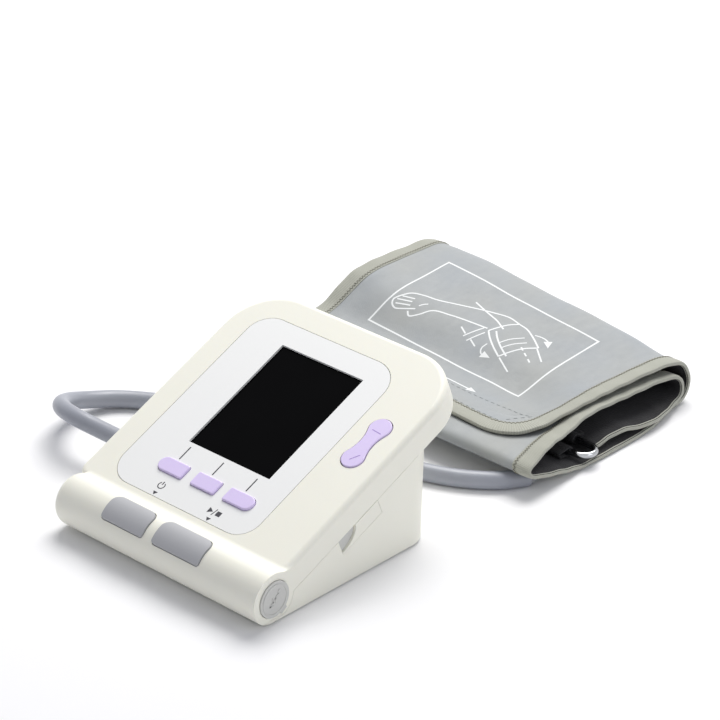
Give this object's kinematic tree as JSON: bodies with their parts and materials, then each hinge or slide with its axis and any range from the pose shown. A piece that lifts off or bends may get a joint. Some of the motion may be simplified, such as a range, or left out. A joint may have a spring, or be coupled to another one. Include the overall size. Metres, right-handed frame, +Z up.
{
  "type": "arm blood pressure monitor",
  "caption": "Desktop arm blood pressure monitor: wedge casing with colour window, keys and front roll with two buttons, joined by an air hose to a folded arm cuff.",
  "frame": {"origin": "on the table, under the middle of the box round casing and cuff", "axes": "+X to the user's right, +Y away from the user, from the casing to the cuff, +Z up"},
  "size_m": [0.1892, 0.2732, 0.0665],
  "materials": {
    "ivory_plastic": "fine satin moulded finish, warm ivory white",
    "white_panel": "smooth cooler white film",
    "black_window": "polished black window",
    "lilac_key": "satin lilac",
    "silver_button": "satin silver grey lacquer",
    "grey_rubber": "matt grey",
    "grey_plastic": "matt grey",
    "grey_hose": "soft bluish grey tube, slight sheen",
    "foot_rubber": "matt black",
    "grey_nylon": "close woven coated nylon, soft sheen",
    "khaki_tape": "ribbed woven edge tape, zigzag stitched",
    "black_loop": "brushed black loop cloth",
    "bladder_film": "smooth airtight film",
    "ring_chrome": "polished wire",
    "steel": "zinc plated",
    "motor_steel": "drawn can",
    "display_metal": "thin stamped frame",
    "black_plastic": "moulded black",
    "green_board": "green lacquered board",
    "cell_sleeve": "plain printed sleeve, no text",
    "clear_tube": "translucent silicone"
  },
  "bodies": {
    "monitor": {"top_cover": "ivory_plastic", "base_cover": "ivory_plastic", "face_panel": "white_panel", "display_window": "black_window", "display_module": "display_metal", "display_frame": "black_plastic", "rocker_pin": "steel", "main_board": "green_board", "tact_switches": "black_plastic", "board_screws": "steel", "front_board": "green_board", "front_switches": "black_plastic", "usb_socket": "steel", "probe_socket": "black_plastic", "battery_cells": "cell_sleeve", "battery_springs": "steel", "battery_plates": "steel", "rubber_feet": "foot_rubber", "housing_screws": "steel", "air_socket": "grey_plastic", "air_manifold": "grey_plastic", "pump_tube": "clear_tube", "valve_tube": "clear_tube", "sensor_tube": "clear_tube", "pressure_sensor": "black_plastic", "dump_valve": "black_plastic", "pump_motor": "motor_steel", "pump_head": "black_plastic", "pump_cradle": "foot_rubber", "buzzer": "black_plastic", "hose_plug": "grey_plastic", "hose": "grey_hose", "cuff_nipple": "grey_plastic", "cuff_cover": "grey_nylon", "cuff_lining": "black_loop", "cuff_bladder": "bladder_film", "cuff_binding": "khaki_tape", "hook_patch": "black_loop", "ring_hem": "black_loop"},
    "power_button": {"power_button": "silver_button"},
    "start_button": {"start_button": "silver_button"},
    "key_left": {"key_left": "lilac_key"},
    "key_middle": {"key_middle": "lilac_key"},
    "key_right": {"key_right": "lilac_key"},
    "rocker_key": {"rocker_key": "lilac_key"},
    "usb_cap": {"usb_cap": "grey_rubber"},
    "side_hatch": {"side_hatch": "ivory_plastic"},
    "battery_door": {"battery_door": "ivory_plastic"},
    "motor_shaft": {"motor_shaft": "steel"},
    "valve_plunger": {"valve_plunger": "steel"},
    "cuff_ring": {"cuff_ring": "ring_chrome", "ring_tab": "black_loop"}
  },
  "joints": [
    {"name": "power_button_press", "type": "slide", "parent": "monitor", "child": "power_button", "axis": [0, 0.4924, -0.8704], "range_m": [0, 0.001], "stiffness_N_per_m": 900, "springref_m": -0.0003},
    {"name": "start_button_press", "type": "slide", "parent": "monitor", "child": "start_button", "axis": [0, 0.4924, -0.8704], "range_m": [0, 0.001], "stiffness_N_per_m": 900, "springref_m": -0.0003},
    {"name": "key_left_press", "type": "slide", "parent": "monitor", "child": "key_left", "axis": [0, 0.4027, -0.9153], "range_m": [0, 0.0006], "stiffness_N_per_m": 1200, "springref_m": -0.0002},
    {"name": "key_middle_press", "type": "slide", "parent": "monitor", "child": "key_middle", "axis": [0, 0.4027, -0.9153], "range_m": [0, 0.0006], "stiffness_N_per_m": 1200, "springref_m": -0.0002},
    {"name": "key_right_press", "type": "slide", "parent": "monitor", "child": "key_right", "axis": [0, 0.4027, -0.9153], "range_m": [0, 0.0006], "stiffness_N_per_m": 1200, "springref_m": -0.0002},
    {"name": "rocker_tilt", "type": "hinge", "parent": "monitor", "child": "rocker_key", "pos_m": [0.05565, -0.0581, 0.04347], "axis": [1, 0, 0], "range_deg": [-2.5, 2.5], "stiffness_Nm_per_rad": 0.2},
    {"name": "cap_pull", "type": "slide", "parent": "monitor", "child": "usb_cap", "axis": [1, 0, 0], "range_m": [0, 0.009]},
    {"name": "hatch_lift", "type": "slide", "parent": "monitor", "child": "side_hatch", "axis": [1, 0, 0], "range_m": [0, 0.008]},
    {"name": "battery_door_slide", "type": "slide", "parent": "monitor", "child": "battery_door", "axis": [0, 1, 0], "range_m": [0, 0.008]},
    {"name": "motor_spin", "type": "hinge", "parent": "monitor", "child": "motor_shaft", "pos_m": [-0.01835, -0.07028, 0.0135], "axis": [0, 1, 0], "continuous": true},
    {"name": "valve_close", "type": "slide", "parent": "monitor", "child": "valve_plunger", "axis": [-1, 0, 0], "range_m": [0, 0.0009], "stiffness_N_per_m": 300, "springref_m": -0.0003},
    {"name": "ring_swing", "type": "hinge", "parent": "monitor", "child": "cuff_ring", "pos_m": [-0.00135, 0.06263, 0.0058], "axis": [-1, 0, 0], "range_deg": [0, 7]}
  ]
}
